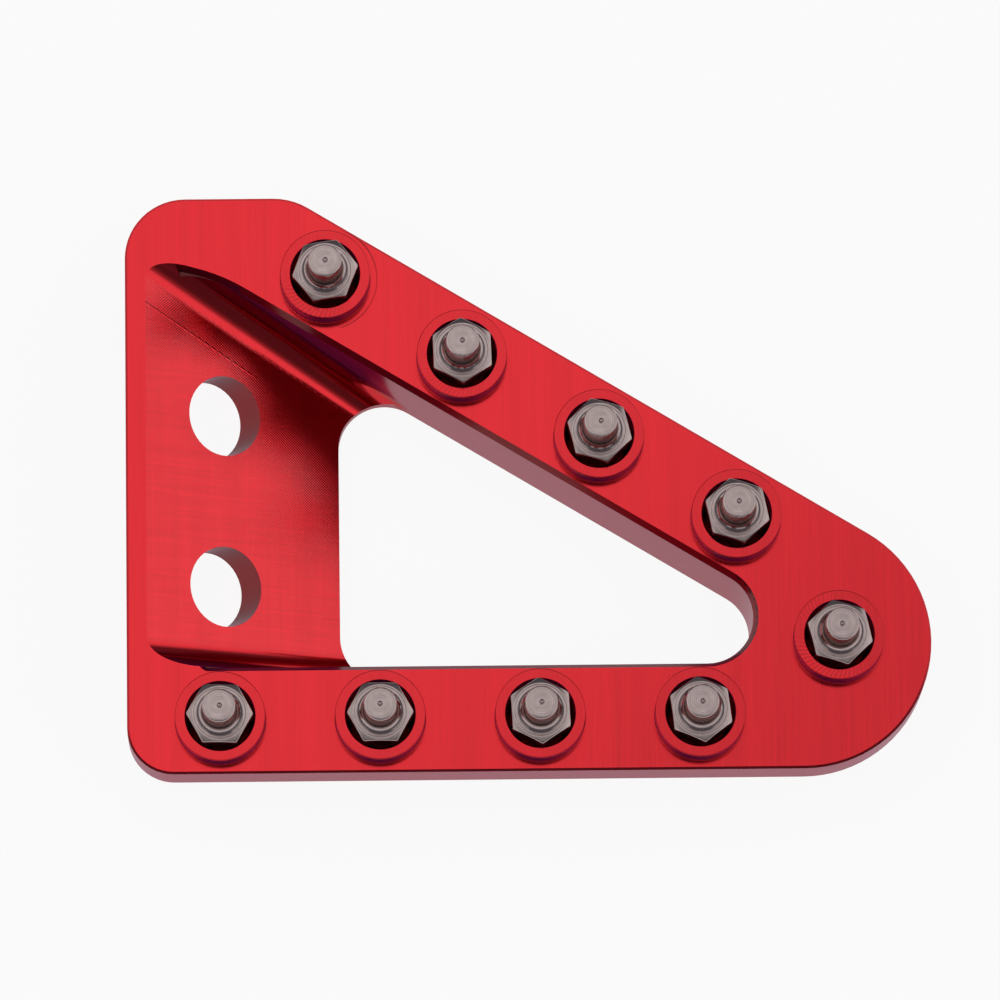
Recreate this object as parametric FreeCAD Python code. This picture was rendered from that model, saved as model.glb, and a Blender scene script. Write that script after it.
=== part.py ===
"""Step plate that bolts to the end of a brake pedal lever, with its grip pins. Units are millimetres.

The plate is one milled block of aluminium: a mount end with a sloping web and two bolt
holes, and two arms that meet in a rounded nose around an open triangle. Grip pins with a
hexagon foot are screwed into round bosses along both arms and at the nose.

The plate is drawn with x along it from the mount edge, y across it from the lower edge and
z up from the tread face. The finished pieces are then moved so that the origin is the
middle of the lever seat, between the two bolt holes.
"""
import FreeCAD
import Part
import math
import os

Vector = FreeCAD.Vector

# Outer form of the plate
PLATE_LENGTH = 69.1
PLATE_WIDTH = 50.3
PLATE_THICKNESS = 11.5
SHOULDER_START = 14.44
NOSE_RADIUS = 11.0
LOWER_CORNER_RADIUS = 4.0
UPPER_CORNER_RADIUS = 5.2
SHOULDER_RADIUS = 5.8
OUTER_WALL_HEIGHT = 4.9
UNDERCUT_WIDTH = 3.4
EDGE_BREAK = 0.2

# Triangular opening between the arms
ARM_WIDTH = 9.3
OPENING_START = 18.3
OPENING_CORNER_RADIUS = 4.0
RIM_CHAMFER_WIDTH = 0.42
RIM_CHAMFER_DEPTH = 0.9
RIM_LOWER_START = 6.2
RIM_LOWER_LEAD_RADIUS = 0.9
RIM_UPPER_START = 4.3
RIM_UPPER_START_INSET = 0.84
RIM_UPPER_FULL = 7.9
RIM_UPPER_LEAD_RADIUS = 16.0

# Sloping web, with the pocket for the bolt heads above it and the lever seat below it
WEB_ANGLE = 30.0
WEB_THICKNESS = 3.5
POCKET_START = 1.75
POCKET_FLOOR_RADIUS = 2.65
SEAT_WIDTH = 27.0
SEAT_CORNER_RADIUS = 1.0

# Bolt holes, square to the web
BOLT_HOLE_DIAMETER = 7.0
BOLT_SPACING = 15.0
BOLT_LINE_X = 8.5
BOLT_SHIFT = -0.75

# Bosses under the grip pins
BOSS_DIAMETER = 7.75
BOSS_HEIGHT = 2.2
COUNTERBORE_DIAMETER = 6.0
COUNTERBORE_DEPTH = 1.4
THREAD_DIAMETER = 4.0
THREAD_DEPTH = 5.4
THREAD_CLEARANCE = 0.05

# Places of the grip pins
PINS_PER_ROW = 4
LOWER_ROW_START = 8.0
LOWER_ROW_END = 20.0
UPPER_ROW_START = 17.3
UPPER_ROW_END = 16.64
NOSE_PIN_FORWARD = 3.0
NOSE_PIN_SIDEWAYS = 0.2

# Grip pin
HEX_ACROSS_FLATS = 5.0
HEX_STAND = 1.7
HEX_CHAMFER_ANGLE = 30.0
HEX_FACE_DIAMETER = 4.75
TIP_DIAMETER = 2.9
TIP_HEIGHT = 4.2
TIP_BREAK = 0.2
NECK_FLARE = 0.55
SHANK_LENGTH = 4.6

# Angle at which each pin's hexagon came to rest when it was tightened
LOWER_ROW_TURNS = [59.0, 0.0, 33.0, 37.0]
UPPER_ROW_TURNS = [9.0, 32.0, 44.0, 42.0]
NOSE_PIN_TURN = 43.0

OVERCUT = 5.0
UP = Vector(0, 0, 1)


def nose_centre():
    """Centre of the rounded nose."""
    return Vector(PLATE_LENGTH - NOSE_RADIUS, NOSE_RADIUS, 0)


def slant_angle():
    """Angle of the slanted outer edge, which runs from the shoulder down to touch the nose."""
    fall = nose_centre() - Vector(SHOULDER_START, PLATE_WIDTH, 0)
    return math.atan2(-fall.y, fall.x) - math.asin(NOSE_RADIUS / fall.Length)


def slant_normal():
    """Unit normal of the slanted outer edge, pointing out of the plate."""
    return Vector(math.sin(slant_angle()), math.cos(slant_angle()), 0)


def slant_reach():
    """Distance of the slanted edge from the lower mount corner, along its normal."""
    return slant_normal().dot(nose_centre()) + NOSE_RADIUS


def slant_point_at_x(x, inset):
    """Point at x on the line that runs inset inside the slanted edge."""
    normal = slant_normal()
    return Vector(x, (slant_reach() - inset - normal.x * x) / normal.y, 0)


def slant_point_at_y(y, inset):
    """Point at y on the line that runs inset inside the slanted edge."""
    normal = slant_normal()
    return Vector((slant_reach() - inset - normal.y * y) / normal.x, y, 0)


def rounded_face(corners, z):
    """Flat face at height z with each (point, radius) corner rounded by an arc."""
    starts = []
    middles = []
    ends = []
    count = len(corners)
    for index, (point, radius) in enumerate(corners):
        to_last = (corners[index - 1][0] - point).normalize()
        to_next = (corners[(index + 1) % count][0] - point).normalize()
        half = to_last.getAngle(to_next) / 2
        tangent = radius / math.tan(half)
        inward = (to_last + to_next).normalize()
        starts.append(point + to_last * tangent)
        middles.append(point + inward * (radius / math.sin(half) - radius))
        ends.append(point + to_next * tangent)
    edges = []
    for index in range(count):
        if corners[index][1] > 0:
            edges.append(Part.Arc(starts[index], middles[index], ends[index]).toShape())
        edges.append(Part.LineSegment(ends[index], starts[(index + 1) % count]).toShape())
    face = Part.Face(Part.Wire(edges))
    face.translate(Vector(0, 0, z))
    return face


def outline_corners():
    """Corners of the plate's outer outline, from the lower mount corner round by the nose."""
    return [
        (Vector(0, 0, 0), LOWER_CORNER_RADIUS),
        (slant_point_at_y(0, 0), NOSE_RADIUS),
        (slant_point_at_y(PLATE_WIDTH, 0), SHOULDER_RADIUS),
        (Vector(0, PLATE_WIDTH, 0), UPPER_CORNER_RADIUS),
    ]


def edges_at_height(shape, z):
    """Edges of a shape that lie wholly at height z."""
    tolerance = 1e-6
    return [
        edge
        for edge in shape.Edges
        if abs(edge.BoundBox.ZMin - z) < tolerance and abs(edge.BoundBox.ZMax - z) < tolerance
    ]


def revolve_profile(points):
    """Solid turned about the z axis from a ring of (radius, height) points."""
    ring = [Vector(r, 0, z) for r, z in points + points[:1]]
    return Part.Face(Part.makePolygon(ring)).revolve(Vector(0, 0, 0), UP, 360)


def block():
    """Outer form: upright wall at the top, drawn in below it, with its tread edge broken."""
    solid = rounded_face(outline_corners(), -PLATE_THICKNESS).extrude(UP * PLATE_THICKNESS)
    undercut_height = PLATE_THICKNESS - OUTER_WALL_HEIGHT
    solid = solid.makeChamfer(undercut_height, UNDERCUT_WIDTH, edges_at_height(solid, -PLATE_THICKNESS))
    return solid.makeChamfer(EDGE_BREAK, edges_at_height(solid, 0))


def web_normal():
    """Unit normal of the web's upper face, which is also the way the bolts go in."""
    angle = math.radians(WEB_ANGLE)
    return Vector(math.sin(angle), 0, math.cos(angle))


def floor_height(x):
    """Height of the pocket floor at x."""
    return -(x - POCKET_START) * math.tan(math.radians(WEB_ANGLE))


def bolt_centre_y():
    """Height across the plate of the middle between the two bolt holes."""
    return PLATE_WIDTH / 2 + BOLT_SHIFT


def bolt_points():
    """Centres of the two bolt holes on the pocket floor."""
    return [
        Vector(BOLT_LINE_X, bolt_centre_y() + side * BOLT_SPACING / 2, floor_height(BOLT_LINE_X))
        for side in (-1, 1)
    ]


def seat_centre():
    """Middle of the lever seat, between the two bolt holes: the part's origin."""
    lower, upper = bolt_points()
    return (lower + upper) / 2 - web_normal() * WEB_THICKNESS


def profile_prism(points, low_y, high_y):
    """Prism along y over a side profile of (x, z) points."""
    ring = [Vector(x, low_y, z) for x, z in points + points[:1]]
    return Part.Face(Part.makePolygon(ring)).extrude(Vector(0, high_y - low_y, 0))


def fillet_slope(cutter, radius, low_z, high_z):
    """Round a cutter's long edges that run down the slope of the web, between two heights."""
    roots = []
    for edge in cutter.Edges:
        box = edge.BoundBox
        slopes = box.XLength > OVERCUT and box.ZLength > OVERCUT
        if slopes and low_z < box.Center.z < high_z:
            roots.append(edge)
    return cutter.makeFillet(radius, roots)


def pocket_cutter():
    """Space above the web: a sloping floor between the arms' inner walls, with round roots."""
    left = POCKET_START - OVERCUT
    right = OPENING_START + OPENING_CORNER_RADIUS + OVERCUT
    side = [
        (left, floor_height(left)),
        (right, floor_height(right)),
        (right, OVERCUT),
        (left, OVERCUT),
    ]
    plan = [
        Vector(left, ARM_WIDTH, 0),
        Vector(right, ARM_WIDTH, 0),
        slant_point_at_x(right, ARM_WIDTH),
        slant_point_at_x(left, ARM_WIDTH),
    ]
    depth = UP * (2 * PLATE_THICKNESS)
    between = Part.Face(Part.makePolygon(plan + plan[:1])).extrude(depth * 2)
    between.translate(depth * -1)
    cutter = profile_prism(side, 0, PLATE_WIDTH).common(between)
    return fillet_slope(cutter, POCKET_FLOOR_RADIUS, floor_height(right), OVERCUT)


def seat_height(x):
    """Height of the lever seat at x."""
    return floor_height(x) - WEB_THICKNESS / math.cos(math.radians(WEB_ANGLE))


def seat_cutter():
    """Space below the web for the end of the lever, open to the mount edge and downwards."""
    left = -OVERCUT
    bottom = -PLATE_THICKNESS - OVERCUT
    right = POCKET_START + (seat_height(POCKET_START) - bottom) / math.tan(math.radians(WEB_ANGLE))
    side = [(left, seat_height(left)), (right, bottom), (left, bottom)]
    cutter = profile_prism(side, bolt_centre_y() - SEAT_WIDTH / 2, bolt_centre_y() + SEAT_WIDTH / 2)
    return fillet_slope(cutter, SEAT_CORNER_RADIUS, bottom, 0)


def opening_cutter():
    """Space of the triangular opening, through the whole thickness."""
    points = [
        Vector(OPENING_START, ARM_WIDTH, 0),
        slant_point_at_y(ARM_WIDTH, ARM_WIDTH),
        slant_point_at_x(OPENING_START, ARM_WIDTH),
    ]
    corners = [(point, OPENING_CORNER_RADIUS) for point in points]
    face = rounded_face(corners, -PLATE_THICKNESS - OVERCUT)
    return face.extrude(UP * (PLATE_THICKNESS + 2 * OVERCUT))


def rim_cutter():
    """Steep chamfer along the top of the arms' inner walls, run in slowly on the upper arm."""
    top_arm = ARM_WIDTH - RIM_CHAMFER_WIDTH
    corners = [
        (Vector(RIM_LOWER_START, top_arm, 0), RIM_LOWER_LEAD_RADIUS),
        (slant_point_at_y(top_arm, top_arm), OPENING_CORNER_RADIUS + RIM_CHAMFER_WIDTH),
        (slant_point_at_x(RIM_UPPER_FULL, top_arm), RIM_UPPER_LEAD_RADIUS),
        (slant_point_at_x(RIM_UPPER_START, ARM_WIDTH + RIM_UPPER_START_INSET), 0),
    ]
    solid = rounded_face(corners, -RIM_CHAMFER_DEPTH).extrude(UP * (RIM_CHAMFER_DEPTH + OVERCUT))
    rim = edges_at_height(solid, -RIM_CHAMFER_DEPTH)
    return solid.makeChamfer(RIM_CHAMFER_DEPTH, RIM_CHAMFER_WIDTH, rim)


def row_centres(first, last):
    """Evenly spaced pin centres from the first to the last of one row."""
    gaps = PINS_PER_ROW - 1
    return [first + (last - first) * (index / gaps) for index in range(PINS_PER_ROW)]


def pin_places():
    """Name, centre on the tread face and turn of each grip pin."""
    middle = ARM_WIDTH / 2
    lower = row_centres(
        Vector(LOWER_ROW_START, middle, 0),
        Vector(PLATE_LENGTH - LOWER_ROW_END, middle, 0),
    )
    upper = row_centres(
        slant_point_at_x(UPPER_ROW_START, middle),
        slant_point_at_x(PLATE_LENGTH - UPPER_ROW_END, middle),
    )
    places = []
    for row, centres, turns in (("lower", lower, LOWER_ROW_TURNS), ("upper", upper, UPPER_ROW_TURNS)):
        for index, centre in enumerate(centres):
            name = "grip_pin_%s_%d" % (row, index + 1)
            places.append((name, centre, turns[index % len(turns)]))
    nose = nose_centre() + Vector(NOSE_PIN_FORWARD, NOSE_PIN_SIDEWAYS, 0)
    places.append(("grip_pin_nose", nose, NOSE_PIN_TURN))
    return places


def boss():
    """Round boss standing on z = 0, sunk far enough to meet the plate where its edge is broken."""
    return Part.makeCylinder(BOSS_DIAMETER / 2, BOSS_HEIGHT + EDGE_BREAK, UP * -EDGE_BREAK)


def pin_hole_cutter():
    """Counterbore for the pin's hexagon foot and the tapped hole below it."""
    bore = COUNTERBORE_DIAMETER / 2
    hole = THREAD_DIAMETER / 2
    floor = BOSS_HEIGHT - COUNTERBORE_DEPTH
    return revolve_profile([
        (0, floor - THREAD_DEPTH),
        (hole, floor - THREAD_DEPTH),
        (hole, floor),
        (bore, floor),
        (bore, BOSS_HEIGHT + OVERCUT),
        (0, BOSS_HEIGHT + OVERCUT),
    ])


def bolt_hole_cutter():
    """Bolt hole through the web, standing on the pocket floor with z out of the web."""
    depth = WEB_THICKNESS + OVERCUT
    return Part.makeCylinder(BOLT_HOLE_DIAMETER / 2, depth + OVERCUT, UP * -depth)


def pedal_plate():
    """The milled plate: block, pocket, lever seat, opening, bosses and holes."""
    plate = block()
    plate = plate.cut(pocket_cutter())
    plate = plate.cut(seat_cutter())
    plate = plate.cut(opening_cutter())
    plate = plate.cut(rim_cutter())
    for name, centre, turn in pin_places():
        stud = boss()
        stud.translate(centre)
        plate = plate.fuse(stud)
    for name, centre, turn in pin_places():
        hole = pin_hole_cutter()
        hole.translate(centre)
        plate = plate.cut(hole)
    for centre in bolt_points():
        hole = bolt_hole_cutter()
        hole.rotate(Vector(0, 0, 0), Vector(0, 1, 0), WEB_ANGLE)
        hole.translate(centre)
        plate = plate.cut(hole)
    return plate.Solids[0]


def turned_pin():
    """Round parts of a pin: screwed shank, flared neck and tip."""
    foot = BOSS_HEIGHT - COUNTERBORE_DEPTH
    face = BOSS_HEIGHT + HEX_STAND
    top = face + TIP_HEIGHT
    shank = THREAD_DIAMETER / 2 - THREAD_CLEARANCE
    tip = TIP_DIAMETER / 2
    return revolve_profile([
        (0, foot - SHANK_LENGTH),
        (shank, foot - SHANK_LENGTH),
        (shank, face - NECK_FLARE),
        (tip + NECK_FLARE, face),
        (tip, face + NECK_FLARE),
        (tip, top - TIP_BREAK),
        (tip - TIP_BREAK, top),
        (0, top),
    ])


def hexagon_foot():
    """Hexagon that a spanner turns, with its upper corners turned off at an angle."""
    foot = BOSS_HEIGHT - COUNTERBORE_DEPTH
    face = BOSS_HEIGHT + HEX_STAND
    corner = HEX_ACROSS_FLATS / math.sqrt(3)
    ring = []
    for index in range(7):
        angle = math.radians(60 * index)
        ring.append(Vector(corner * math.cos(angle), corner * math.sin(angle), foot))
    prism = Part.Face(Part.makePolygon(ring)).extrude(UP * (face - foot))
    face_radius = HEX_FACE_DIAMETER / 2
    drop = (corner - face_radius) * math.tan(math.radians(HEX_CHAMFER_ANGLE))
    turned = revolve_profile([
        (0, foot),
        (2 * corner, foot),
        (corner, face - drop),
        (face_radius, face),
        (0, face),
    ])
    return prism.common(turned)


def grip_pin():
    """One pin, with its boss standing on z = 0 and a hexagon corner on +x."""
    return turned_pin().fuse(hexagon_foot()).removeSplitter()


def main():
    """Build every piece about the seat centre and write one STEP file for each."""
    os.makedirs("parts", exist_ok=True)
    to_origin = seat_centre() * -1
    plate = pedal_plate()
    plate.translate(to_origin)
    pieces = {"pedal_plate": plate}
    for name, centre, turn in pin_places():
        pin = grip_pin()
        pin.rotate(Vector(0, 0, 0), UP, turn)
        pin.translate(centre + to_origin)
        pieces[name] = pin
    for name, shape in pieces.items():
        shape.exportStep("parts/%s.step" % name)
        print(name, "valid" if shape.isValid() else "INVALID", round(shape.Volume, 2), "mm3")


main()
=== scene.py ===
"""Looks of a brake pedal step plate: one red anodised plate with nine turned steel grip pins.

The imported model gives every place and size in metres, with the origin in the middle of the
lever seat. Sizes of the plate and the pins are millimetres here until a mesh is filled, and
those of the studio are metres.
"""

import logging
import math
from dataclasses import dataclass, field
from enum import Enum
from typing import Any

import bpy
import numpy as np
from mathutils import Matrix, Vector
from mathutils.geometry import delaunay_2d_cdt


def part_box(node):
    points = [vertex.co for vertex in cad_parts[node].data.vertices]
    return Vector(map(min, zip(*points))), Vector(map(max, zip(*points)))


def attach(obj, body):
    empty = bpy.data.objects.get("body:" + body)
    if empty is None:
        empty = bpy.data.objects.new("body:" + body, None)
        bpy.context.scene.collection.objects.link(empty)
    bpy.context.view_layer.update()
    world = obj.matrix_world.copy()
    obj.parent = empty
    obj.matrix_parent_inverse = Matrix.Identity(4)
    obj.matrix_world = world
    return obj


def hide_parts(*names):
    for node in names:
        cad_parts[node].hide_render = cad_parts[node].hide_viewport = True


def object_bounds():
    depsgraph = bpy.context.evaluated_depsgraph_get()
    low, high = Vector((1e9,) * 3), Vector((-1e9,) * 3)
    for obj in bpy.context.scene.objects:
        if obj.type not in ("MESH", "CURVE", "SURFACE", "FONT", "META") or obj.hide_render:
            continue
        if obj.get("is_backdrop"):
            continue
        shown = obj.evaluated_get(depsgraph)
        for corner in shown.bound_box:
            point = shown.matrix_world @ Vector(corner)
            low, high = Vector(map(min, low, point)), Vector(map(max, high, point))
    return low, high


Tree = bpy.types.NodeTree
Node = bpy.types.Node
Socket = bpy.types.NodeSocket
Material = bpy.types.Material
Pair = tuple[float, float]
Triple = tuple[float, float, float]

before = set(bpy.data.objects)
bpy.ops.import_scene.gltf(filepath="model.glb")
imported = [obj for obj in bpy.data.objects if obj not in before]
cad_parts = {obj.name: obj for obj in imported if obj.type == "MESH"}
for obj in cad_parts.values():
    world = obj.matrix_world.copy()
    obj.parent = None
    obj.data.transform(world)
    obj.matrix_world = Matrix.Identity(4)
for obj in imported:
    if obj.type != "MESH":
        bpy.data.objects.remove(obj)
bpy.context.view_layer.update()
LOG = logging.getLogger("step_plate")
MM = 0.001
FULL_TURN = 2 * math.pi
SHARP_ANGLE = math.radians(20)
HEX_SECTOR = 60
# How far a point may lie from the plane or circle that it belongs to, in millimetres.
ON_PLANE = 0.005
ON_CIRCLE = 0.01
# Marks of a cutter lie about 0.05 mm apart on the real plate and those of a lathe 0.03 mm on
# the pins. That is too fine to show, so they are drawn as far apart as they need to be.
GRAIN_PITCH = 0.14
SCALLOP_PITCH = 0.24
LATHE_PITCH = 0.13


def linear(code: str) -> tuple[float, float, float, float]:
    """Turns an sRGB hex colour into linear red, green, blue and alpha.

    Args:
        code: six hex digits, with or without a leading hash.

    Returns:
        Linear components by the sRGB curve: a straight part below 0.04045, a power of 2.4 above.
    """
    parts = [int(code.lstrip("#")[i:i + 2], 16) / 255 for i in (0, 2, 4)]
    curve = [c / 12.92 if c <= 0.04045 else ((c + 0.055) / 1.055) ** 2.4 for c in parts]
    return (*curve, 1.0)


def add_node(tree: Tree, kind: str, inputs: dict | tuple = (), **settings: Any) -> Node:
    """Adds one node with its settings and links.

    The inputs of a MapRange node are the value, the range it comes from and the range it goes
    to. Those of a Mix node are 0 for the factor and 2 and 3 for the two values.

    Args:
        tree: the node tree that takes the node.
        kind: the node's type name without its first word, ShaderNode.
        inputs: what feeds each input, by name or number, or in order from the first one on: a
            value, an output socket, or a node, which stands for its first output in use.
        settings: properties of the node itself.

    Returns:
        The new node.
    """
    node = tree.nodes.new("ShaderNode" + kind)
    for name, value in settings.items():
        setattr(node, name, value)
    given = inputs if isinstance(inputs, dict) else dict(enumerate(inputs))
    for key, value in given.items():
        if isinstance(value, Node):
            value = next(output for output in value.outputs if output.enabled)
        if isinstance(value, Socket):
            tree.links.new(value, node.inputs[key])
        else:
            node.inputs[key].default_value = value
    return node


def new_material(name: str) -> tuple[Material, Tree]:
    """Makes an empty node material.

    Args:
        name: the finish that it stands for.

    Returns:
        The material and its node tree.
    """
    material = bpy.data.materials.new(name)
    material.use_nodes = True
    material.node_tree.nodes.clear()
    return material, material.node_tree


class Feature(Enum):
    """Names of the mesh attributes that tell a material what it lies on."""

    WEB_FLOOR = "web_floor"
    UPRIGHT = "upright"
    BOSS_PLACE = "boss_place"
    RIBBED = "ribbed"
    CUT_FACE = "cut_face"
    # How much painted shade darkens a face's colour: on edges, rims, ledges, fillets, bolt-hole
    # walls and bosses.
    DEEP_DYE = "painted_shade"
    AXIS_PLACE = "axis_place"


@dataclass
class Shell:
    """Vertices in millimetres with polygons, gathered before they become a mesh."""

    points: np.ndarray
    polygons: list[list[int]]
    shortest: float = 1e-12
    level_from: float = 0.9999
    flat_weight: int = 90
    same_area: float = 1e-5

    def normals(self) -> np.ndarray:
        """Works out the outward unit normal of each polygon, from its first three corners.

        Returns:
            The cross product of the sides from the first corner, at length 1, by polygon.
        """
        corners = np.array([self.points[face[:3]] for face in self.polygons])
        normals = np.cross(corners[:, 1] - corners[:, 0], corners[:, 2] - corners[:, 0])
        length = np.linalg.norm(normals, axis=1, keepdims=True)
        return normals / np.maximum(length, self.shortest)

    def to_object(self, name: str, attributes: dict[Feature, np.ndarray]) -> bpy.types.Object:
        """Fills a mesh and gives back its object, smooth apart from sharp edges.

        Edges over the sharp angle are sharp, and so are the borders of level faces, so that
        those faces stay flat to the eye.

        Args:
            name: name of the piece.
            attributes: value of each point or polygon by feature, one number or three each.

        Returns:
            The object, at the origin, with its place in its mesh.
        """
        mesh = bpy.data.meshes.new(name)
        mesh.from_pydata((self.points * MM).tolist(), [], self.polygons)
        mesh.polygons.foreach_set("use_smooth", np.ones(len(mesh.polygons), bool))
        mesh.set_sharp_from_angle(angle=SHARP_ANGLE)
        edge_of = np.empty(len(mesh.loops), np.int32)
        mesh.loops.foreach_get("edge_index", edge_of)
        sides = np.array([len(face) for face in self.polygons])
        level = self.normals()[:, 2] > self.level_from
        touching = np.bincount(edge_of, np.repeat(level, sides), len(mesh.edges))
        sharp = np.empty(len(mesh.edges), bool)
        mesh.edges.foreach_get("use_edge_sharp", sharp)
        mesh.edges.foreach_set("use_edge_sharp", sharp | (touching == 1))
        for feature, values in attributes.items():
            domain = "POINT" if len(values) == len(mesh.vertices) else "FACE"
            kind, key = ("FLOAT_VECTOR", "vector") if values.ndim == 2 else ("FLOAT", "value")
            layer = mesh.attributes.new(feature.value, kind, domain)
            layer.data.foreach_set(key, values.astype(np.float32).ravel())
        mesh.update()
        obj = bpy.data.objects.new(name, mesh)
        bpy.context.scene.collection.objects.link(obj)
        modifier = obj.modifiers.new("flat_faces_first", "WEIGHTED_NORMAL")
        modifier.keep_sharp = True
        modifier.weight = self.flat_weight
        # Areas are in square metres here, so the usual threshold would call them all the same.
        modifier.thresh = self.same_area
        return obj


def ring_grid(
    rings: np.ndarray, first: int, close_start: bool, close_end: bool
) -> tuple[np.ndarray, list]:
    """Skins a stack of closed rings with four-sided faces and fans over the ends.

    The surface is a function of two numbers, the ring and the place round it. A closed end is
    a fan from the ring there to that ring's middle point.

    Args:
        rings: points, by ring, place round the ring and axis.
        first: number that the first point will have.
        close_start: whether the first ring is closed by a fan.
        close_end: whether the last ring is closed by a fan.

    Returns:
        The points in order, and the polygons, which face outwards where the rings run
        anticlockwise seen from above and go up the outside of the shape and then inwards.
    """
    count, around = rings.shape[:2]
    here = np.arange(around)
    after = np.roll(here, -1)
    low = first + np.arange(count - 1)[:, None] * around
    quads = np.stack([low + here, low + after, low + around + after, low + around + here], axis=-1)
    polygons = quads.reshape(-1, 4).tolist()
    points = [rings.reshape(-1, 3)]
    middle = first + count * around
    if close_start:
        points.append(rings[0].mean(axis=0)[None, :])
        fan = np.stack([first + after, first + here, np.full(around, middle)], axis=-1)
        polygons += fan.tolist()
        middle += 1
    if close_end:
        points.append(rings[-1].mean(axis=0)[None, :])
        last = first + (count - 1) * around
        fan = np.stack([last + here, last + after, np.full(around, middle)], axis=-1)
        polygons += fan.tolist()
    return np.concatenate(points), polygons


def turned_rings(profile: list[Pair], angles: np.ndarray, centre: np.ndarray) -> np.ndarray:
    """Rings of a turned shape: each (radius, height) goes round the upright axis through centre.

    Args:
        profile: radius and height of each ring.
        angles: places round the axis, in radians.
        centre: the point of the axis at height 0.

    Returns:
        Points by ring, angle and axis.
    """
    radius, height = np.array(profile).T
    flat = radius[:, None, None] * np.stack([np.cos(angles), np.sin(angles)], axis=-1)
    up = np.broadcast_to(height[:, None, None], (len(height), len(angles), 1))
    return np.concatenate([flat, up], axis=-1) + centre


def arc(centre: Pair, radius: float, start: float, end: float, steps: int) -> list:
    """Points of a circular arc in the (radius, height) plane, between two angles in degrees."""
    turn = np.radians(np.linspace(start, end, steps + 1))
    return (centre + radius * np.column_stack([np.cos(turn), np.sin(turn)])).tolist()


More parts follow.
